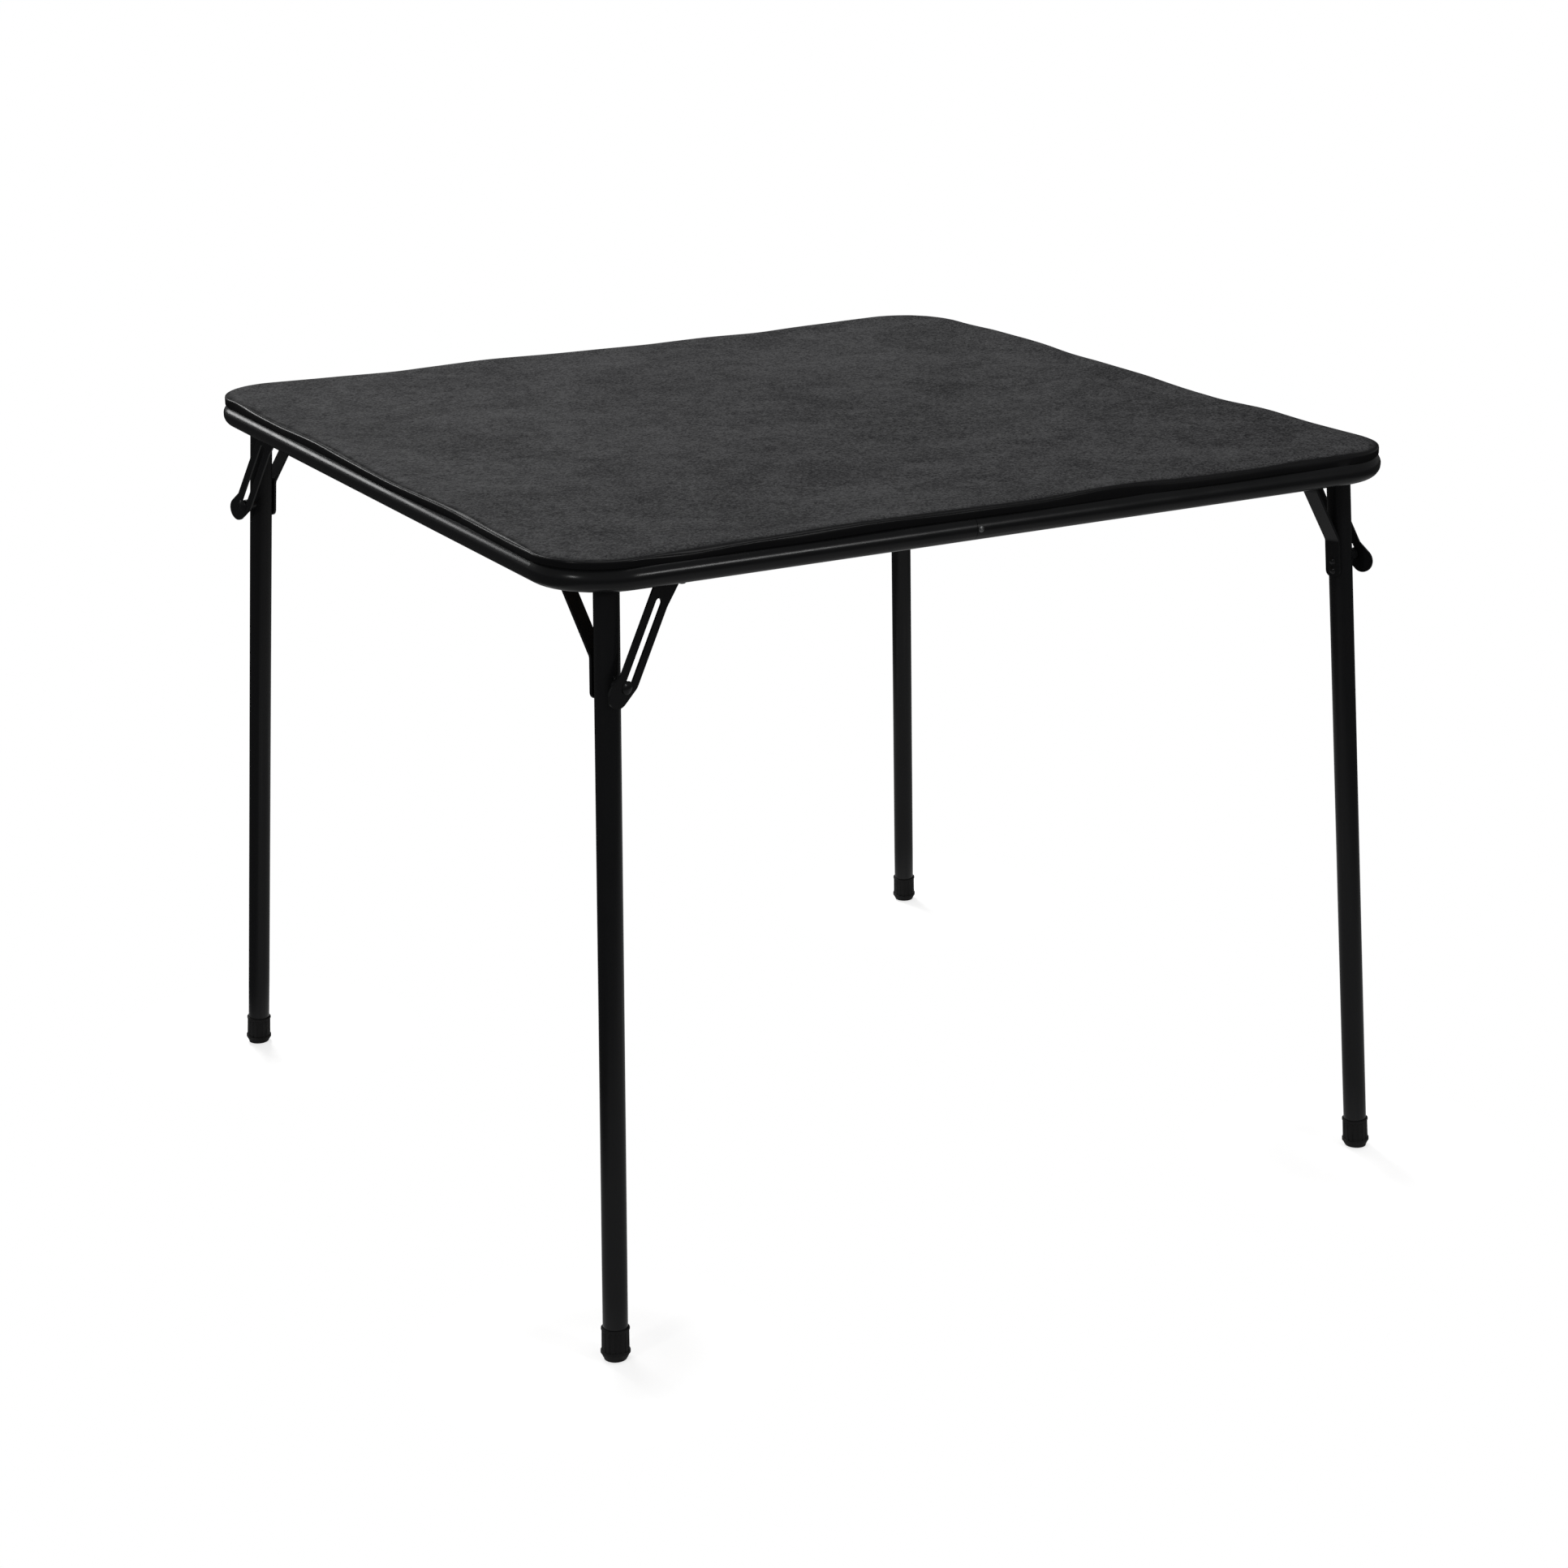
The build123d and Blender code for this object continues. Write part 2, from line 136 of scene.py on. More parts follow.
# Rubber where it rubs, and shares of the colours that the user sets
WORN_RUBBER = (0.022, 0.022, 0.022)
DARK_FIBRE_SHARE = 0.62
PALE_FIBRE_SHARE = 1.45
DULL_ZINC_SHARE = 0.6

# The floor: its size and depth, each foot's distance from the middle along x and along y, how the
# floor looks at a foot, and the way in which a gloss sees more of it
FLOOR_SIZE = 60
FLOOR_DROP = 0.0004
FOOT_AWAY = 0.417
FOOT_SHADE = 0.8
FOOT_GLOW = 0.7
GLOSS_SIDE = (1.0, -0.6, 0.0)

SENSOR_WIDTH = 36
CAMERA_REACH = 200


# Sizes and colours that a user would change


class CoverSettings(bpy.types.PropertyGroup):
    corner: bpy.props.FloatProperty(
        name="Corner radius",
        description="Radius of the corners of the padded top, seen from above",
        default=0.064,
        unit="LENGTH",
    )
    hem: bpy.props.FloatProperty(
        name="Hem",
        description="How far the vinyl reaches inwards under the top from its edge",
        default=0.024,
        unit="LENGTH",
    )
    skin: bpy.props.FloatProperty(
        name="Vinyl thickness",
        description="Thickness of the vinyl sheet",
        default=0.0005,
        unit="LENGTH",
    )
    wave_out: bpy.props.FloatProperty(
        name="Wave outwards",
        description="How far the pulled edge wanders in and out",
        default=0.0022,
        unit="LENGTH",
    )
    wave_up: bpy.props.FloatProperty(
        name="Wave up and down",
        description="How far the top of the rim rises and sinks where the vinyl is pulled",
        default=0.0024,
        unit="LENGTH",
    )
    wave_length: bpy.props.FloatProperty(
        name="Wave length",
        description="Usual distance between two pulled places along the edge",
        default=0.17,
        unit="LENGTH",
    )
    swell: bpy.props.FloatProperty(
        name="Swell",
        description="Most that the simulated vinyl may move from the shape it was sewn to",
        default=0.0011,
        unit="LENGTH",
    )
    dark: bpy.props.FloatVectorProperty(
        name="Dark vinyl",
        description="Colour of the darker clouds in the vinyl",
        subtype="COLOR",
        default=(0.013, 0.013, 0.0142),
    )
    pale: bpy.props.FloatVectorProperty(
        name="Pale vinyl",
        description="Colour of the paler clouds and flecks in the vinyl",
        subtype="COLOR",
        default=(0.0795, 0.0795, 0.0815),
    )
    # The rim colour is painted shade: the colour the vinyl darkens to where its surface tilts off the top,
    # over the shoulder and down the rim.
    rim: bpy.props.FloatVectorProperty(
        name="Rim vinyl",
        description="Colour of the vinyl where it is stretched over the rim",
        subtype="COLOR",
        default=(0.0095, 0.0095, 0.0102),
    )


class PaintSettings(bpy.types.PropertyGroup):
    paint: bpy.props.FloatVectorProperty(
        name="Paint",
        description="Colour of the black coat on the tubes and brackets",
        subtype="COLOR",
        default=(0.0142, 0.0145, 0.0154),
    )
    paint_dust: bpy.props.FloatVectorProperty(
        name="Dust on paint",
        description="Colour that thin dust gives the paint",
        subtype="COLOR",
        default=(0.0180, 0.0180, 0.0186),
    )
    rubber: bpy.props.FloatVectorProperty(
        name="Rubber",
        description="Colour of the foot caps",
        subtype="COLOR",
        default=(0.012, 0.012, 0.0123),
    )
    board: bpy.props.FloatVectorProperty(
        name="Hardboard",
        description="Colour of the bare underside of the board",
        subtype="COLOR",
        default=(0.16, 0.094, 0.05),
    )
    zinc: bpy.props.FloatVectorProperty(
        name="Zinc plate",
        description="Colour of the plated screws, the sleeve and its rivet",
        subtype="COLOR",
        default=(0.3, 0.305, 0.31),
    )


class StageSettings(bpy.types.PropertyGroup):
    eye: bpy.props.FloatVectorProperty(
        name="Camera place",
        description="Where the camera stands",
        subtype="TRANSLATION",
        default=(-1.45084, -2.64793, 1.33286),
    )
    lens: bpy.props.FloatProperty(
        name="Lens",
        description="Focal length on a sensor 36 mm wide",
        default=72.22,
        unit="CAMERA",
    )
    yaw: bpy.props.FloatProperty(
        name="Yaw",
        description="Turn of the camera from straight ahead towards the right",
        default=0.5025,
        subtype="ANGLE",
    )
    pitch: bpy.props.FloatProperty(
        name="Pitch",
        description="How far the camera looks down",
        default=0.3189,
        subtype="ANGLE",
    )
    roll: bpy.props.FloatProperty(
        name="Roll",
        description="Turn of the camera about its own line of sight",
        default=-0.0108,
        subtype="ANGLE",
    )
    ambient: bpy.props.FloatProperty(
        name="Ambient light",
        description="Strength of the even light from all round",
        default=0.18,
    )
    gloss_share: bpy.props.FloatProperty(
        name="Room in a gloss",
        description="Share of the white room that shows in a gloss, as the real studio was dimmer",
        default=0.13,
    )
    floor_share: bpy.props.FloatVectorProperty(
        name="Floor in a gloss",
        description="Share of the white floor that shows in a gloss, near the table and far from it",
        size=2,
        default=(0.28, 0.03),
    )
    bounce: bpy.props.FloatProperty(
        name="Bounce",
        description="Share of the light that the floor throws back on the object",
        default=0.5,
    )
    back_power: bpy.props.FloatProperty(
        name="Back lamp",
        description="Power of the large lamp behind and above",
        default=117.0,
    )
    top_power: bpy.props.FloatProperty(
        name="Top lamp",
        description="Power of the large lamp overhead",
        default=25.0,
    )
    left_power: bpy.props.FloatProperty(
        name="Left strip",
        description="Power of the lamp behind on the left, which draws the long gloss on the frame",
        default=8.0,
    )
    corner_power: bpy.props.FloatProperty(
        name="Corner lamp",
        description="Power of the small lamp that sparkles on the near corner",
        default=10.0,
    )
    front_power: bpy.props.FloatProperty(
        name="Front lamp",
        description="Power of the small lamp in front on the right",
        default=12.0,
    )


# Helpers for modelling


def deselect_everything():
    if bpy.context.mode != "OBJECT":
        bpy.ops.object.mode_set(mode="OBJECT")
    bpy.ops.object.select_all(action="DESELECT")


def finish_piece(obj, body):
    """Puts the object's place into its mesh and makes it ride on its body."""
    deselect_everything()
    obj.select_set(True)
    bpy.context.view_layer.objects.active = obj
    bpy.ops.object.transform_apply(location=True, rotation=True, scale=True)
    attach(obj, body)
    obj.select_set(False)


def give_material(obj, material):
    obj.data.materials.clear()
    obj.data.materials.append(material)


# Shader groups that several materials share


def new_group(name, inputs, outputs):
    """A shader node group with its sockets, and its two end nodes."""
    group = bpy.data.node_groups.new(name, "ShaderNodeTree")
    for label, kind, value in inputs:
        socket = group.interface.new_socket(label, in_out="INPUT", socket_type=kind)
        socket.default_value = value
    for label, kind in outputs:
        group.interface.new_socket(label, in_out="OUTPUT", socket_type=kind)
    return group, group.nodes.new("NodeGroupInput"), group.nodes.new("NodeGroupOutput")


def add_noise(tree, coords, scale, detail=3.0, roughness=0.55, distortion=0.0):
    node = tree.nodes.new("ShaderNodeTexNoise")
    node.inputs["Detail"].default_value = detail
    node.inputs["Roughness"].default_value = roughness
    node.inputs["Distortion"].default_value = distortion
    if isinstance(scale, bpy.types.NodeSocket):
        tree.links.new(scale, node.inputs["Scale"])
    else:
        node.inputs["Scale"].default_value = scale
    tree.links.new(coords, node.inputs["Vector"])
    return node.outputs["Fac"]


def add_range(tree, value, low, high, to_low=0.0, to_high=1.0):
    node = tree.nodes.new("ShaderNodeMapRange")
    node.interpolation_type = "SMOOTHSTEP"
    node.inputs["From Min"].default_value = low
    node.inputs["From Max"].default_value = high
    node.inputs["To Min"].default_value = to_low
    node.inputs["To Max"].default_value = to_high
    tree.links.new(value, node.inputs["Value"])
    return node.outputs["Result"]


def add_math(tree, operation, first, second):
    node = tree.nodes.new("ShaderNodeMath")
    node.operation = operation
    for place, value in enumerate((first, second)):
        if isinstance(value, bpy.types.NodeSocket):
            tree.links.new(value, node.inputs[place])
        else:
            node.inputs[place].default_value = value
    return node.outputs["Value"]


def add_mix(tree, mask, first, second):
    """Colour mix of two colours or colour sockets."""
    node = tree.nodes.new("ShaderNodeMix")
    node.data_type = "RGBA"
    tree.links.new(mask, node.inputs["Factor"])
    for name, value in (("A", first), ("B", second)):
        socket = [s for s in node.inputs if s.name == name and s.type == "RGBA"][0]
        if isinstance(value, bpy.types.NodeSocket):
            tree.links.new(value, socket)
        else:
            socket.default_value = (*value, 1.0)
    return [s for s in node.outputs if s.type == "RGBA"][0]


def cloud_group():
    """Wide clouds and short flecks, as in suede-look vinyl or raw board."""
    group, entry, leave = new_group(
        "clouds_and_flecks",
        [
            ("Vector", "NodeSocketVector", (0, 0, 0)),
            ("Cloud Scale", "NodeSocketFloat", 12.0),
            ("Fleck Scale", "NodeSocketFloat", 300.0),
        ],
        [("Clouds", "NodeSocketFloat"), ("Flecks", "NodeSocketFloat")],
    )
    where = entry.outputs["Vector"]
    cloud_scale = entry.outputs["Cloud Scale"]
    fleck_scale = entry.outputs["Fleck Scale"]
    wide = add_noise(group, where, cloud_scale, detail=5.0, roughness=0.62, distortion=0.6)
    fleck = add_noise(group, where, fleck_scale, detail=2.0, roughness=0.6, distortion=0.8)
    group.links.new(add_range(group, wide, low=0.36, high=0.66), leave.inputs["Clouds"])
    group.links.new(add_range(group, fleck, low=0.34, high=0.68), leave.inputs["Flecks"])
    return group


def dust_group():
    """Thin dust that lies on what faces up, broken by a fine noise."""
    group, entry, leave = new_group(
        "settled_dust",
        [
            ("Vector", "NodeSocketVector", (0, 0, 0)),
            ("Amount", "NodeSocketFloat", 0.5),
        ],
        [("Dust", "NodeSocketFloat")],
    )
    facing = group.nodes.new("ShaderNodeNewGeometry")
    parts = group.nodes.new("ShaderNodeSeparateXYZ")
    group.links.new(facing.outputs["Normal"], parts.inputs["Vector"])
    up = add_range(group, parts.outputs["Z"], low=0.1, high=1.0)
    patch = add_noise(group, entry.outputs["Vector"], scale=55.0, detail=4.0, roughness=0.65)
    speck = add_noise(group, entry.outputs["Vector"], scale=700.0, detail=2.0, roughness=0.5)
    patchy = add_range(group, patch, low=0.35, high=0.7)
    speckled = add_range(group, speck, low=0.4, high=0.65, to_low=0.4, to_high=1.0)
    mask = add_math(group, "MULTIPLY", up, patchy)
    mask = add_math(group, "MULTIPLY", mask, speckled)
    mask = add_math(group, "MULTIPLY", mask, entry.outputs["Amount"])
    group.links.new(mask, leave.inputs["Dust"])
    return group


def peel_group():
    """Height of the faint orange peel of a sprayed or moulded surface."""
    group, entry, leave = new_group(
        "fine_peel",
        [("Vector", "NodeSocketVector", (0, 0, 0)), ("Scale", "NodeSocketFloat", 800.0)],
        [("Height", "NodeSocketFloat")],
    )
    scale = entry.outputs["Scale"]
    peel = add_noise(group, entry.outputs["Vector"], scale, detail=2.0, roughness=0.5)
    group.links.new(peel, leave.inputs["Height"])
    return group


def shared_group(name):
    makers = {
        "clouds_and_flecks": cloud_group,
        "settled_dust": dust_group,
        "fine_peel": peel_group,
    }
    return bpy.data.node_groups.get(name) or makers[name]()


def place_group(tree, name, coords, **values):
    node = tree.nodes.new("ShaderNodeGroup")
    node.node_tree = shared_group(name)
    tree.links.new(coords, node.inputs["Vector"])
    for label, value in values.items():
        node.inputs[label.replace("_", " ")].default_value = value
    return node


def new_material(name):
    material = bpy.data.materials.new(name)
    material.use_nodes = True
    tree = material.node_tree
    shader = tree.nodes["Principled BSDF"]
    coords = tree.nodes.new("ShaderNodeTexCoord").outputs["Object"]
    return material, tree, shader, coords


def add_bump(tree, shader, height, strength, distance):
    bump = tree.nodes.new("ShaderNodeBump")
    bump.inputs["Strength"].default_value = strength
    bump.inputs["Distance"].default_value = distance
    tree.links.new(height, bump.inputs["Height"])
    tree.links.new(bump.outputs["Normal"], shader.inputs["Normal"])


# Finishes


def suede_vinyl(cover):
    """Charcoal vinyl with the clouded, brushed look of suede, smoother where it rolls over the rim, with
    painted shade that darkens its colour where the surface tilts off the top.
    """
    material, tree, shader, coords = new_material("suede_vinyl")
    cloud = place_group(tree, "clouds_and_flecks", coords, Cloud_Scale=9.0, Fleck_Scale=75.0)
    fine = place_group(tree, "clouds_and_flecks", coords, Cloud_Scale=34.0, Fleck_Scale=290.0)
    speck = add_noise(tree, coords, scale=520.0, detail=2.0, roughness=0.7)
    grain = add_range(tree, speck, low=0.4, high=0.6)
    cloud_share, tone_drop = 0.28, 0.37
    tone = add_math(tree, "MULTIPLY", cloud.outputs["Clouds"], cloud_share)
    for socket, share in (
        (cloud.outputs["Flecks"], 0.14),
        (fine.outputs["Clouds"], 0.2),
        (fine.outputs["Flecks"], 0.5),
        (grain, 0.62),
    ):
        tone = add_math(tree, "ADD", tone, add_math(tree, "MULTIPLY", socket, share))
    tone = add_math(tree, "SUBTRACT", tone, tone_drop)
    colour = add_mix(tree, tone, cover.dark, cover.pale)
    facing = tree.nodes.new("ShaderNodeNewGeometry")
    parts = tree.nodes.new("ShaderNodeSeparateXYZ")
    tree.links.new(facing.outputs["Normal"], parts.inputs["Vector"])
    up = parts.outputs["Z"]
    # Painted shade: as the surface tilts off the top, the colour goes over to the dark rim colour,
    # standing in for the shoulder and rim turned away from the light.
    painted_shoulder_shade = add_range(tree, up, low=0.997, high=0.95)
    colour = add_mix(tree, painted_shoulder_shade, colour, cover.rim)
    tree.links.new(colour, shader.inputs["Base Color"])
    off_the_top = add_range(tree, up, low=0.94, high=0.75)
    above_the_side = add_range(tree, up, low=0.0, high=0.45)
    rolled = add_math(tree, "MULTIPLY", off_the_top, above_the_side)
    tree.links.new(rolled, shader.inputs["Coat Weight"])
    shader.inputs["Coat Roughness"].default_value = 0.25
    shader.inputs["Coat IOR"].default_value = 1.3
    rough = add_range(tree, cloud.outputs["Flecks"], low=0.0, high=1.0, to_low=0.7, to_high=0.86)
    tree.links.new(rough, shader.inputs["Roughness"])
    shader.inputs["Specular IOR Level"].default_value = 0.05
    height = add_math(tree, "ADD", fine.outputs["Flecks"], cloud.outputs["Flecks"])
    add_bump(tree, shader, height, strength=0.3, distance=0.0003)
    return material


def black_coat(paint):
    """Semi-gloss black powder coat on steel."""
    material, tree, shader, coords = new_material("black_powder_coat")
    dust = place_group(tree, "settled_dust", coords, Amount=0.3)
    peel = place_group(tree, "fine_peel", coords, Scale=650.0)
    colour = add_mix(tree, dust.outputs["Dust"], paint.paint, paint.paint_dust)
    tree.links.new(colour, shader.inputs["Base Color"])
    patch = add_noise(tree, coords, scale=30.0, detail=3.0, roughness=0.6)
    sprayed = add_range(tree, patch, low=0.3, high=0.7, to_low=0.19, to_high=0.25)
    dusty_share = 0.3
    dusty = add_math(tree, "MULTIPLY", dust.outputs["Dust"], dusty_share)
    rough = add_math(tree, "ADD", sprayed, dusty)
    tree.links.new(rough, shader.inputs["Roughness"])
    shader.inputs["Specular IOR Level"].default_value = 0.28
    add_bump(tree, shader, peel.outputs["Height"], strength=0.015, distance=0.0002)
    return material


def foot_rubber(paint):
    """Matt moulded rubber, a little greyed where it rubs."""
    material, tree, shader, coords = new_material("foot_rubber")
    cloud = place_group(tree, "clouds_and_flecks", coords, Cloud_Scale=90.0, Fleck_Scale=900.0)
    peel = place_group(tree, "fine_peel", coords, Scale=1400.0)
    mask = add_math(tree, "MULTIPLY", cloud.outputs["Clouds"], cloud.outputs["Flecks"])
    colour = add_mix(tree, mask, paint.rubber, WORN_RUBBER)
    tree.links.new(colour, shader.inputs["Base Color"])
    rough = add_range(tree, cloud.outputs["Clouds"], low=0.0, high=1.0, to_low=0.55, to_high=0.72)
    tree.links.new(rough, shader.inputs["Roughness"])
    shader.inputs["Specular IOR Level"].default_value = 0.2
    add_bump(tree, shader, peel.outputs["Height"], strength=0.25, distance=0.0002)
    return material


def raw_hardboard(paint):
    """Pressed wood fibre, brown, with short pale and dark fibres."""
    material, tree, shader, coords = new_material("raw_hardboard")
    cloud = place_group(tree, "clouds_and_flecks", coords, Cloud_Scale=9.0, Fleck_Scale=420.0)
    fibre = place_group(tree, "clouds_and_flecks", coords, Cloud_Scale=160.0, Fleck_Scale=1300.0)
    dark = tuple(channel * DARK_FIBRE_SHARE for channel in paint.board)
    pale = tuple(channel * PALE_FIBRE_SHARE for channel in paint.board)
    wide = add_mix(tree, cloud.outputs["Clouds"], paint.board, dark)
    colour = add_mix(tree, fibre.outputs["Clouds"], wide, paint.board)
    mask = add_math(tree, "MULTIPLY", cloud.outputs["Flecks"], fibre.outputs["Flecks"])
    colour = add_mix(tree, mask, colour, pale)
    tree.links.new(colour, shader.inputs["Base Color"])
    rough = add_range(tree, cloud.outputs["Flecks"], low=0.0, high=1.0, to_low=0.55, to_high=0.8)
    tree.links.new(rough, shader.inputs["Roughness"])
    add_bump(tree, shader, fibre.outputs["Flecks"], strength=0.4, distance=0.0002)
    return material


def zinc_plate(paint):
    """Dull bright zinc plate on small steel pieces."""
    material, tree, shader, coords = new_material("zinc_plate")
    cloud = place_group(tree, "clouds_and_flecks", coords, Cloud_Scale=220.0, Fleck_Scale=1500.0)
    dull = tuple(channel * DULL_ZINC_SHARE for channel in paint.zinc)
    colour = add_mix(tree, cloud.outputs["Clouds"], paint.zinc, dull)
    tree.links.new(colour, shader.inputs["Base Color"])
    rough = add_range(tree, cloud.outputs["Flecks"], low=0.0, high=1.0, to_low=0.3, to_high=0.5)
    tree.links.new(rough, shader.inputs["Roughness"])
    shader.inputs["Metallic"].default_value = 1.0
    add_bump(tree, shader, cloud.outputs["Flecks"], strength=0.15, distance=0.0001)
    return material


# The padded top


def under_rows(cover):
    """Rows from the outline inwards under the rim, and two more that fill up the width of the hem."""
    rolled = sum(inward for inward, _ in ROLLED_ROWS)
    flat = (cover.hem - rolled) / 2
    return (*ROLLED_ROWS, (flat, 0.0), (flat, 0.0))


def select_faces(mesh, test):
    bpy.ops.mesh.select_all(action="DESELECT")
    bpy.ops.object.mode_set(mode="OBJECT")
    for polygon in mesh.polygons:
        polygon.select = test(polygon)
    bpy.ops.object.mode_set(mode="EDIT")


def rounded_outline(cover):
    """The outline of the top as one face, with points about 7 mm apart."""
    height = COVER_HIGH.z - OUTLINE_DROP
    bpy.ops.mesh.primitive_plane_add(size=2 * COVER_HIGH.x, location=(0, 0, height))
    pad = bpy.context.active_object
    pad.name = "padded_top"
    bpy.ops.object.mode_set(mode="EDIT")
    bpy.ops.mesh.select_all(action="SELECT")
    bpy.ops.mesh.bevel(offset=cover.corner, segments=CORNER_SEGMENTS, affect="VERTICES")
    bpy.ops.mesh.select_all(action="SELECT")
    bpy.ops.mesh.delete(type="ONLY_FACE")
    bpy.ops.object.mode_set(mode="OBJECT")
    points = pad.data.vertices
    for edge in pad.data.edges:
        first, second = (points[v].co for v in edge.vertices)
        edge.select = (first - second).length > SHORTEST_SIDE
    bpy.ops.object.mode_set(mode="EDIT")
    bpy.ops.mesh.subdivide(number_cuts=SIDE_CUTS)
    bpy.ops.mesh.select_all(action="SELECT")
    bpy.ops.mesh.edge_face_add()
    return pad


def sewn_shell(cover):
    """The vinyl as a thin shell: flat top, rolled rim and a hem that ends under the board."""
    pad = rounded_outline(cover)
    bpy.ops.mesh.extrude_region_move(TRANSFORM_OT_translate={"value": (0, 0, -RIM_DEPTH)})
    select_faces(pad.data, lambda face: len(face.vertices) > 4 and face.center.z > -FACE_SPLIT)
    for inward, rise in TOP_ROWS:
        bpy.ops.mesh.inset(thickness=inward, depth=rise, use_even_offset=True)
    bpy.ops.mesh.normals_make_consistent(inside=False)
    select_faces(pad.data, lambda face: len(face.vertices) > 4 and face.center.z < -FACE_SPLIT)
    for inward, drop in under_rows(cover):
        bpy.ops.mesh.inset(thickness=inward, depth=drop, use_even_offset=True)
    bpy.ops.mesh.delete(type="FACE")
    bpy.ops.mesh.select_all(action="SELECT")
    bpy.ops.mesh.normals_make_consistent(inside=False)
    bpy.ops.object.mode_set(mode="OBJECT")
    bpy.ops.object.transform_apply(location=True, rotation=True, scale=True)
    return pad


def outline_distance(point, cover):
    """How far a point lies inside the outline of the top, and which way is outwards."""
    flat = COVER_HIGH.x - cover.corner
    x, y = abs(point.x), abs(point.y)
    sign_x = math.copysign(1.0, point.x)
    sign_y = math.copysign(1.0, point.y)
    if x > flat and y > flat:
        away = Vector((x - flat, y - flat))
        out = away.normalized()
        return cover.corner - away.length, Vector((out.x * sign_x, out.y * sign_y, 0))
    if x > y:
        return COVER_HIGH.x - x, Vector((sign_x, 0, 0))
    return COVER_HIGH.x - y, Vector((0, sign_y, 0))


def wave(here, kind):
    """One of the waves of the edge at a place that is given in wave lengths."""
    scale, start = kind
    return noise.noise(here * scale + start)


def pull_edge(pad, cover):
    """Waves the rim, as where vinyl is pulled round a board and fixed at uneven places."""
    for vertex in pad.data.vertices:
        inside, out = outline_distance(vertex.co, cover)
        here = Vector((vertex.co.x, vertex.co.y, 0)) / cover.wave_length
        rim = max(0.0, 1.0 - inside / WAVED_WIDTH)
        if rim <= 0:
            continue
        rim = rim * rim * (3 - 2 * rim)
        long_wave = wave(here, LONG_WAVE)
        short_wave = wave(here, SHORT_WAVE)
        lift_wave = wave(here, LIFT_WAVE)
        is_top = vertex.co.z > COVER_HIGH.z - TOP_DEPTH
        is_lip = not is_top and inside < LIP_WIDTH
        amount = rim if is_top else (1.0 if is_lip else 0.0)
        outwards = long_wave + SHORT_WAVE_SHARE * short_wave - PULLED_IN_SHARE
        vertex.co += out * amount * cover.wave_out * outwards
        if is_top:
            vertex.co.z += amount * cover.wave_up * (lift_wave + SHORT_LIFT_SHARE * short_wave)
            for x, y, reach, height in PUFFS:
                away = math.hypot(vertex.co.x - x, vertex.co.y - y) / reach
                vertex.co.z += amount * height * math.exp(-away * away)
        elif is_lip:
            vertex.co.z += LIP_RISE * (LIP_START_SHARE + short_wave + lift_wave)


def swell_vinyl(pad, cover):
    """Cloth simulation of the rim: a little pressure under the vinyl, held at the board."""
    start = [vertex.co.copy() for vertex in pad.data.vertices]
    held = pad.vertex_groups.new(name="held")
    places = []
    for vertex in pad.data.vertices:
        inside, _ = outline_distance(vertex.co, cover)
        is_top = vertex.co.z > COVER_HIGH.z - TOP_DEPTH
        if inside > (HELD_OVER if is_top else HELD_UNDER):
            places.append(vertex.index)
    held.add(places, 1.0, "REPLACE")
    cloth = pad.modifiers.new("vinyl_cloth", "CLOTH")
    cloth.settings.vertex_group_mass = "held"
    cloth.settings.use_pressure = True
    cloth.settings.uniform_pressure_force = PRESSURE
    cloth.settings.effector_weights.gravity = 0
    cloth.settings.quality = CLOTH_QUALITY
    cloth.point_cache.frame_start = 1
    cloth.point_cache.frame_end = CLOTH_FRAMES
    for step in range(1, CLOTH_FRAMES + 1):
        bpy.context.scene.frame_set(step)
    bpy.ops.object.modifier_apply(modifier=cloth.name)
    bpy.context.scene.frame_set(1)
    for vertex, place in zip(pad.data.vertices, start):
        move = vertex.co - place
        if move.length > cover.swell:
            vertex.co = place + move * (cover.swell / move.length)
    pad.vertex_groups.clear()


class CARDTABLE_OT_padded_top(bpy.types.Operator):
    """Make the padded top: vinyl pulled over a thin foam sheet and round the edge of the board"""

    bl_idname = "card_table.padded_top"
    bl_label = "Padded Top"

    def execute(self, context):
        cover = context.scene.card_table_cover
        deselect_everything()
        pad = sewn_shell(cover)
        pull_edge(pad, cover)
        swell_vinyl(pad, cover)
        thick = pad.modifiers.new("vinyl_thickness", "SOLIDIFY")
        thick.thickness = cover.skin
        thick.offset = -1.0
        bpy.ops.object.modifier_apply(modifier=thick.name)
        bpy.ops.object.shade_smooth_by_angle(angle=math.radians(60))
        give_material(pad, suede_vinyl(cover))
        finish_piece(pad, "frame")
        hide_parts("vinyl_cover", "foam_pad")
        return {"FINISHED"}


class CARDTABLE_OT_steel_finish(bpy.types.Operator):
    """Paint the frame tube, the legs and all the brackets semi-gloss black"""

    bl_idname = "card_table.steel_finish"
    bl_label = "Painted Steel"

    def execute(self, context):
        coat = black_coat(context.scene.card_table_paint)
        give_material(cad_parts["frame_tube"], coat)
        for corner in CORNERS:
            for piece in PAINTED_AT_CORNER:
                give_material(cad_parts[piece + "_" + corner], coat)
        return {"FINISHED"}


class CARDTABLE_OT_foot_caps(bpy.types.Operator):
    """Give the four ribbed foot caps their rubber"""

    bl_idname = "card_table.foot_caps"
    bl_label = "Rubber Foot Caps"

    def execute(self, context):
        rubber = foot_rubber(context.scene.card_table_paint)
        for corner in CORNERS:
            give_material(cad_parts["foot_cap_" + corner], rubber)
        return {"FINISHED"}


class CARDTABLE_OT_underside(bpy.types.Operator):
    """Give the board under the top its bare hardboard face, and the small plated pieces their zinc"""

    bl_idname = "card_table.underside"
    bl_label = "Hardboard and Screws"

    def execute(self, context):
        paint = context.scene.card_table_paint
        give_material(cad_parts["top_panel"], raw_hardboard(paint))
        plate = zinc_plate(paint)
        for name in PLATED:
            give_material(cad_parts[name], plate)
        return {"FINISHED"}


# Stage


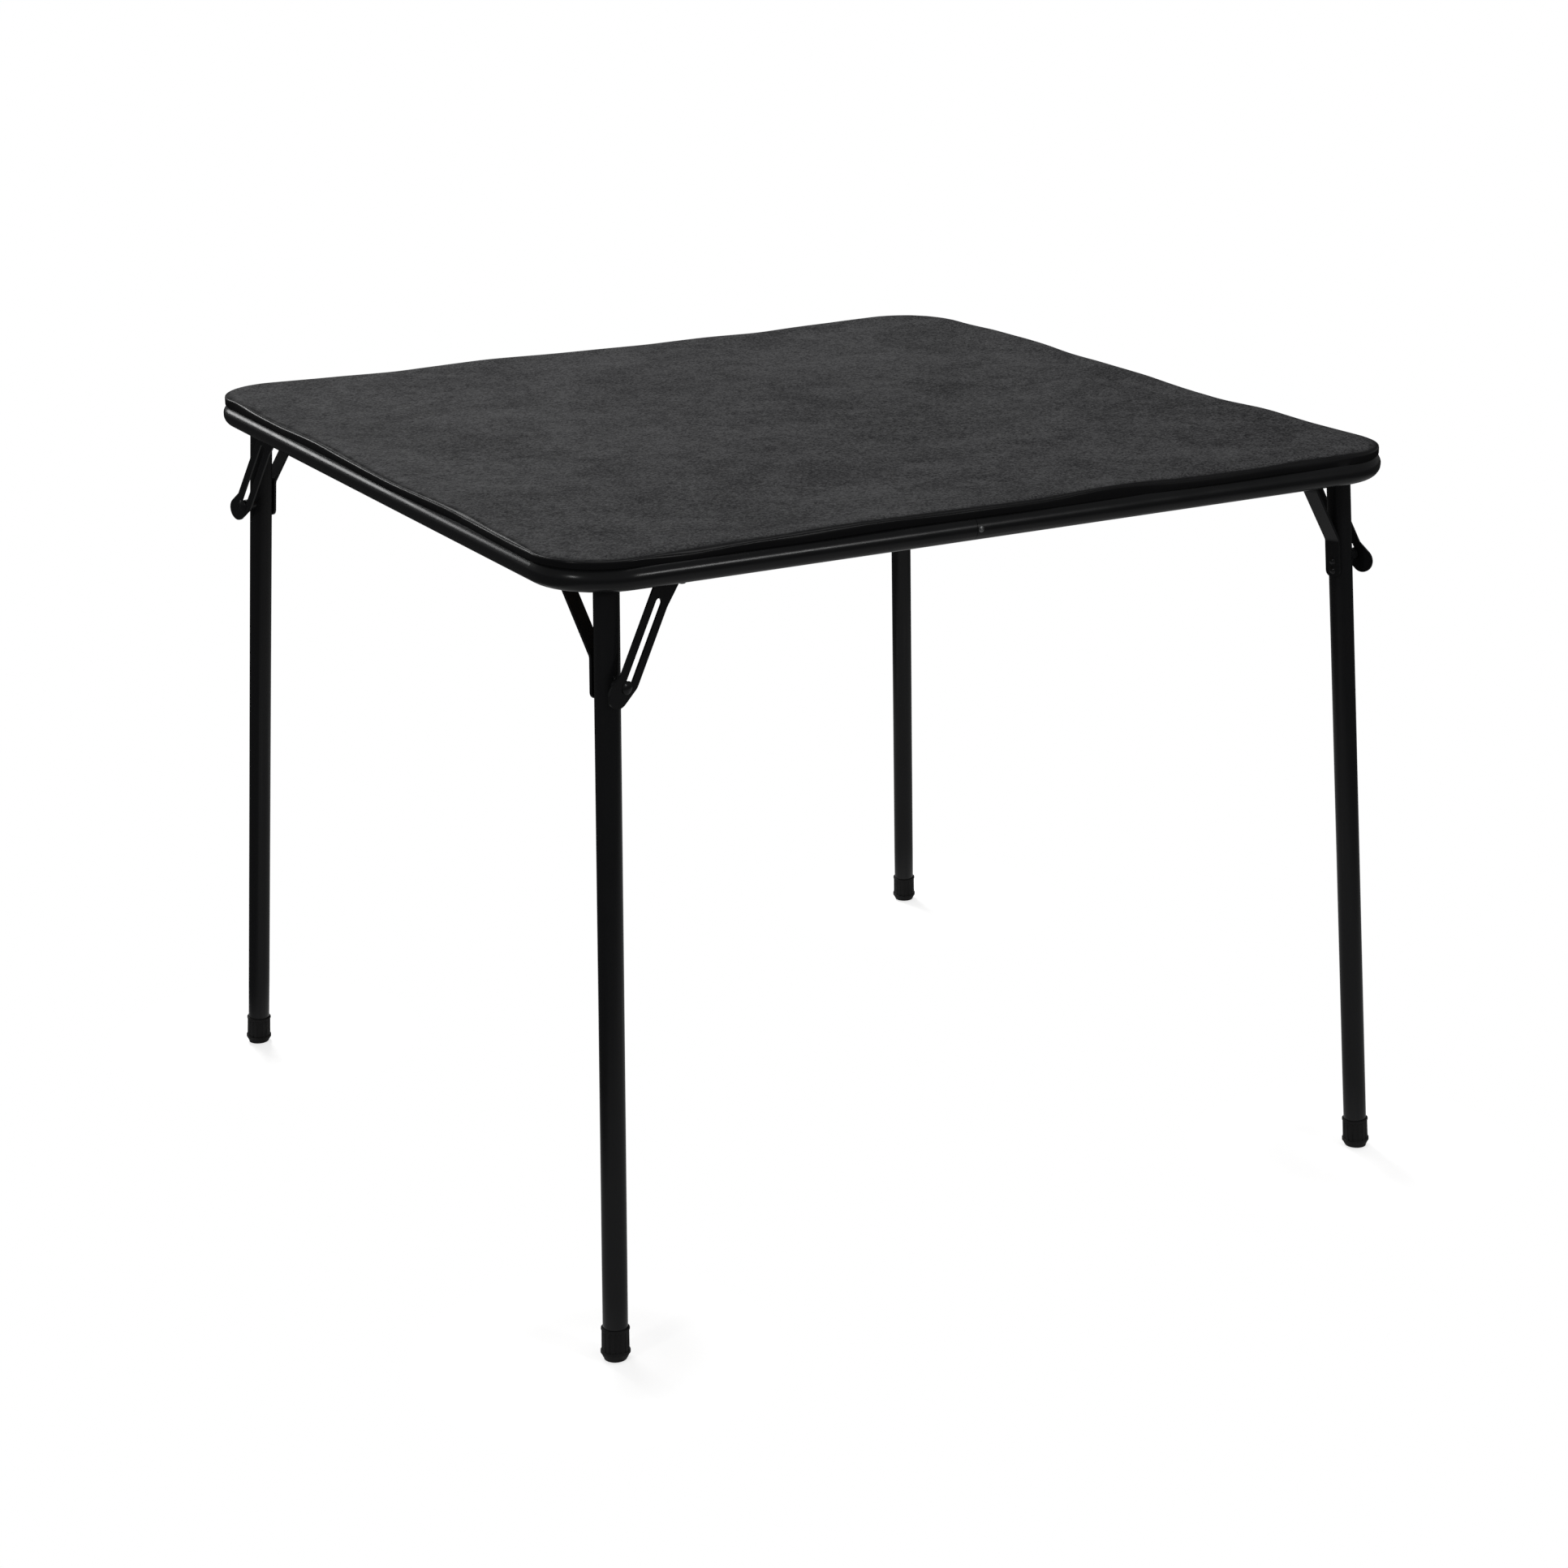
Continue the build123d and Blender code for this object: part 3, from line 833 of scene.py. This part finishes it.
def seen_rays(tree, gloss_share):
    """Three masks: rays that see the surface, how white it is to them (less in a gloss), camera rays."""
    path = tree.nodes.new("ShaderNodeLightPath")
    camera = path.outputs["Is Camera Ray"]
    gloss = path.outputs["Is Glossy Ray"]
    direct = add_math(tree, "MAXIMUM", camera, path.outputs["Is Transmission Ray"])
    looks = add_math(tree, "MAXIMUM", direct, gloss)
    dimmed = add_math(tree, "MULTIPLY", gloss, gloss_share)
    white = add_math(tree, "MAXIMUM", direct, dimmed)
    return looks, white, camera


def vector_value(tree, operation, first, second=None):
    """A number worked out from one or two vectors."""
    node = tree.nodes.new("ShaderNodeVectorMath")
    node.operation = operation
    tree.links.new(first, node.inputs[0])
    if second is not None:
        node.inputs[1].default_value = second
    return node.outputs["Value"]


def foot_mask(tree, coords):
    """1 at the place where each foot stands, 0 from 17 cm away."""
    quarter = tree.nodes.new("ShaderNodeVectorMath")
    quarter.operation = "ABSOLUTE"
    tree.links.new(coords, quarter.inputs[0])
    away = vector_value(tree, "DISTANCE", quarter.outputs["Vector"], (FOOT_AWAY, FOOT_AWAY, 0))
    return add_range(tree, away, low=0.17, high=0.02)


def floor_in_gloss(tree, coords, stage):
    """Share of the floor that shows in a gloss: more near the table, less far off and at the back left."""
    near = add_range(tree, vector_value(tree, "LENGTH", coords), low=2.2, high=0.9)
    aside = vector_value(tree, "DOT_PRODUCT", coords, GLOSS_SIDE)
    lit = add_math(tree, "MULTIPLY", near, add_range(tree, aside, low=-0.95, high=-0.45))
    near_share, far_share = stage.floor_share
    return add_range(tree, lit, low=0.0, high=1.0, to_low=far_share, to_high=near_share)


def mix_shaders(tree, mask, first, second):
    node = tree.nodes.new("ShaderNodeMixShader")
    tree.links.new(mask, node.inputs[0])
    tree.links.new(first, node.inputs[1])
    tree.links.new(second, node.inputs[2])
    return node.outputs[0]


def floor_paper(stage):
    """White paper floor that keeps a pale shadow at each foot, in part painted shade, and is clear from
    below.
    """
    material = bpy.data.materials.new("floor_paper")
    material.use_nodes = True
    tree = material.node_tree
    tree.nodes.clear()
    out = tree.nodes.new("ShaderNodeOutputMaterial")
    coords = tree.nodes.new("ShaderNodeTexCoord").outputs["Object"]
    near = foot_mask(tree, coords)
    looks, white, camera = seen_rays(tree, floor_in_gloss(tree, coords, stage))
    bounce = tree.nodes.new("ShaderNodeBsdfDiffuse")
    bounce.inputs["Color"].default_value = (stage.bounce, stage.bounce, stage.bounce, 1)
    shadow = tree.nodes.new("ShaderNodeBsdfDiffuse")
    shade = add_mix(tree, near, (0.0, 0.0, 0.0), (FOOT_SHADE, FOOT_SHADE, FOOT_SHADE))
    tree.links.new(shade, shadow.inputs["Color"])
    glow = tree.nodes.new("ShaderNodeEmission")
    # Painted shade in part: within 17 cm of each resting foot the glow is lowered and a diffuse part takes
    # over, so the lamps' shadows show there. Where the lamps give too little light, a grey patch stays at
    # that place even with no foot on it.
    plain = add_range(tree, near, low=0.0, high=1.0, to_low=1.0, to_high=FOOT_GLOW)
    tree.links.new(add_math(tree, "MULTIPLY", plain, white), glow.inputs["Strength"])
    seen = tree.nodes.new("ShaderNodeAddShader")
    tree.links.new(shadow.outputs[0], seen.inputs[0])
    tree.links.new(glow.outputs[0], seen.inputs[1])
    both = mix_shaders(tree, looks, bounce.outputs[0], seen.outputs[0])
    facing = tree.nodes.new("ShaderNodeNewGeometry")
    below = add_math(tree, "MULTIPLY", facing.outputs["Backfacing"], camera)
    nothing = tree.nodes.new("ShaderNodeBsdfTransparent").outputs[0]
    tree.links.new(mix_shaders(tree, below, both, nothing), out.inputs["Surface"])
    return material


def white_world(stage):
    """White to the rays that look at it, and an even light of its own strength to the others."""
    world = bpy.data.worlds.new("white_room")
    bpy.context.scene.world = world
    world.use_nodes = True
    tree = world.node_tree
    back = tree.nodes["Background"]
    back.inputs["Color"].default_value = (1, 1, 1, 1)
    looks, white, _ = seen_rays(tree, stage.gloss_share)
    unseen = add_range(tree, looks, low=0.0, high=1.0, to_low=stage.ambient, to_high=0.0)
    tree.links.new(add_math(tree, "ADD", unseen, white), back.inputs["Strength"])


def softbox(name, place, aim, size, power):
    lamp = bpy.data.lights.new(name, "AREA")
    lamp.shape = "RECTANGLE"
    lamp.size, lamp.size_y = size
    lamp.energy = power
    obj = bpy.data.objects.new(name, lamp)
    bpy.context.scene.collection.objects.link(obj)
    obj.location = place
    obj.rotation_euler = (Vector(aim) - Vector(place)).to_track_quat("-Z", "Y").to_euler()


def aimed_camera(stage):
    """The camera at its place, turned by yaw, then pitch, then roll."""
    camera = bpy.data.objects.new("camera", bpy.data.cameras.new("camera"))
    bpy.context.scene.collection.objects.link(camera)
    camera.data.sensor_width = SENSOR_WIDTH
    camera.data.sensor_fit = "HORIZONTAL"
    camera.data.lens = stage.lens
    camera.data.clip_end = CAMERA_REACH
    level, down = math.cos(stage.pitch), math.sin(stage.pitch)
    ahead = Vector((math.sin(stage.yaw) * level, math.cos(stage.yaw) * level, -down))
    right = Vector((math.cos(stage.yaw), -math.sin(stage.yaw), 0))
    up = right.cross(ahead)
    tilt_right = right * math.cos(stage.roll) + up * math.sin(stage.roll)
    tilt_up = up * math.cos(stage.roll) - right * math.sin(stage.roll)
    turned = Matrix((tilt_right, tilt_up, -ahead)).transposed().to_4x4()
    camera.matrix_world = Matrix.Translation(stage.eye) @ turned
    return camera


class CARDTABLE_OT_stage(bpy.types.Operator):
    """Set the floor, the lamps, the world and the camera"""

    bl_idname = "card_table.stage"
    bl_label = "Stage"

    def execute(self, context):
        stage = context.scene.card_table_stage
        deselect_everything()
        bpy.ops.mesh.primitive_plane_add(size=FLOOR_SIZE, location=(0, 0, -FLOOR_DROP))
        floor = context.active_object
        floor.name = "floor"
        give_material(floor, floor_paper(stage))
        white_world(stage)
        for name, place, aim, size, power in (
            ("back_softbox", (0.1, 3.4, 3.4), (0, 0, 0.7), (1.8, 1.6), stage.back_power),
            ("top_softbox", (0.3, -0.2, 3.6), (0, 0, 0.7), (2.2, 2.2), stage.top_power),
            ("left_strip", (-1.6, 3.6, 1.5), (-0.42, 0, 0.7), (0.8, 0.6), stage.left_power),
            ("corner_lamp", (-3.4, -1.5, 1.8), (-0.4, -0.4, 0.7), (0.3, 0.3), stage.corner_power),
            ("front_lamp", (1.5, -3.8, 1.7), (-0.2, -0.4, 0.7), (0.4, 0.5), stage.front_power),
        ):
            softbox(name, place, aim, size, power)
        context.scene.camera = aimed_camera(stage)
        context.scene.view_settings.view_transform = "Standard"
        return {"FINISHED"}


class CARDTABLE_PT_pieces(bpy.types.Panel):
    """Buttons that make the pieces and the stage, and the sizes that can be changed"""

    bl_idname = "CARDTABLE_PT_pieces"
    bl_label = "Card Table"
    bl_space_type = "VIEW_3D"
    bl_region_type = "UI"
    bl_category = "Card Table"

    def draw(self, context):
        for operator in OPERATORS:
            self.layout.operator(operator.bl_idname)
        for group in (
            context.scene.card_table_cover,
            context.scene.card_table_paint,
            context.scene.card_table_stage,
        ):
            box = self.layout.box()
            for name in group.__annotations__:
                box.prop(group, name)


OPERATORS = (
    CARDTABLE_OT_padded_top,
    CARDTABLE_OT_steel_finish,
    CARDTABLE_OT_foot_caps,
    CARDTABLE_OT_underside,
    CARDTABLE_OT_stage,
)
CLASSES = (CoverSettings, PaintSettings, StageSettings, *OPERATORS, CARDTABLE_PT_pieces)


def register():
    for item in CLASSES:
        bpy.utils.register_class(item)
    bpy.types.Scene.card_table_cover = bpy.props.PointerProperty(type=CoverSettings)
    bpy.types.Scene.card_table_paint = bpy.props.PointerProperty(type=PaintSettings)
    bpy.types.Scene.card_table_stage = bpy.props.PointerProperty(type=StageSettings)


def unregister():
    del bpy.types.Scene.card_table_stage
    del bpy.types.Scene.card_table_paint
    del bpy.types.Scene.card_table_cover
    for item in reversed(CLASSES):
        bpy.utils.unregister_class(item)


def main():
    register()
    bpy.ops.card_table.padded_top()
    bpy.ops.card_table.steel_finish()
    bpy.ops.card_table.foot_caps()
    bpy.ops.card_table.underside()
    bpy.ops.card_table.stage()


if __name__ == "__main__":
    main()
